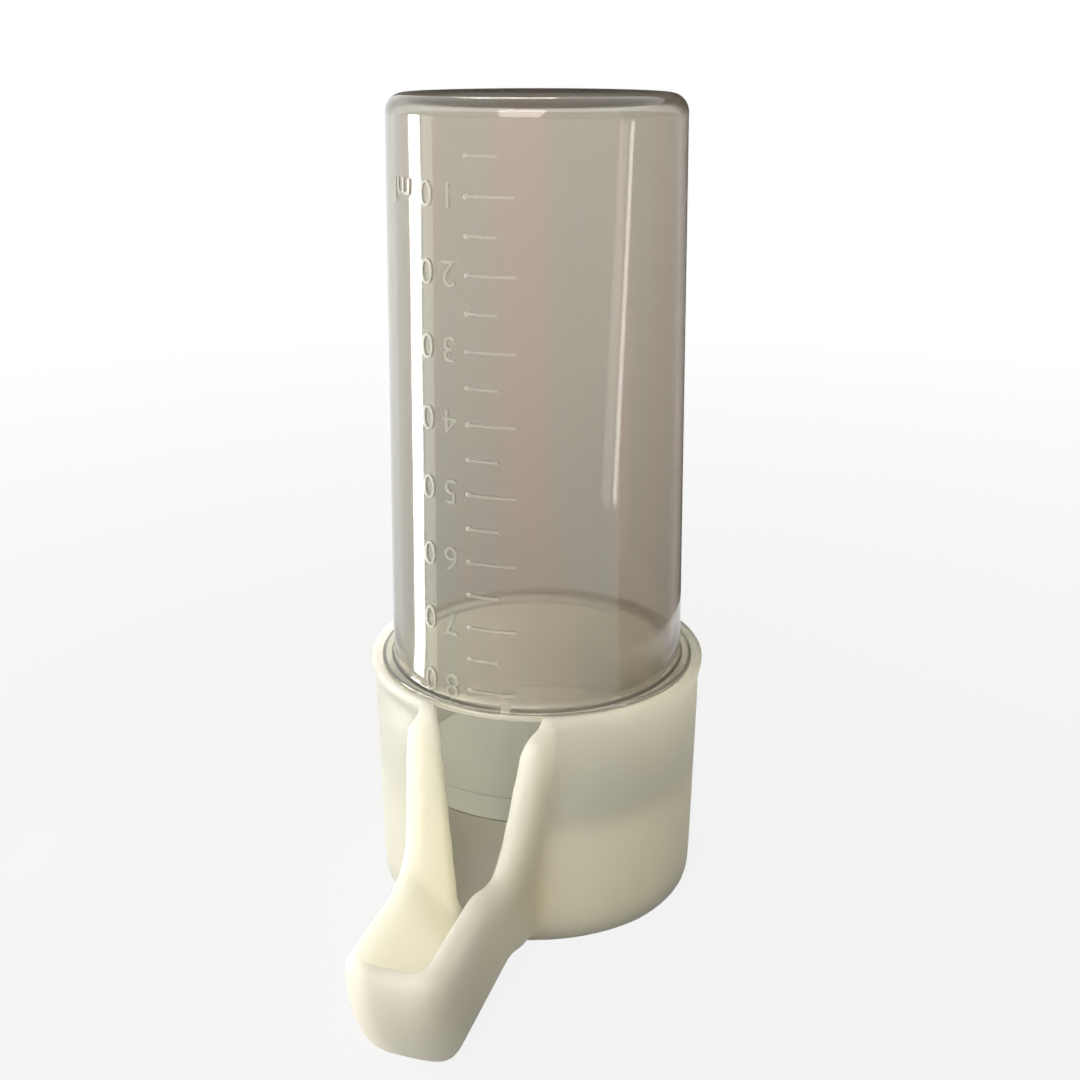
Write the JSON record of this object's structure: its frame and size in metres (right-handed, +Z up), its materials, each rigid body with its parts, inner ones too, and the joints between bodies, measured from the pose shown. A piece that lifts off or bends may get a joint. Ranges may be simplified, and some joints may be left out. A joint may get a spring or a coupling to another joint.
{
  "type": "bird waterer",
  "caption": "Gravity-fed cage drinker: a clear closed-top tube stands mouth down in an open cup whose slotted wall runs out into a beak-shaped drinking trough.",
  "frame": {"origin": "centre of the round face the cup stands on", "axes": "+Z up along the axis of the tube and the cup; the drinking trough points along -Y; +X to the right when looking along +Y"},
  "size_m": [0.047, 0.0795, 0.111],
  "materials": {
    "clear_plastic": "clear, glossy",
    "cream_plastic": "satin"
  },
  "bodies": {
    "base": {"base_cup": "cream_plastic"},
    "tube": {"reservoir_tube": "clear_plastic"}
  },
  "joints": [
    {"name": "tube_lift", "type": "slide", "parent": "base", "child": "tube", "axis": [0, 0, 1], "range_m": [0, 0.035]}
  ]
}
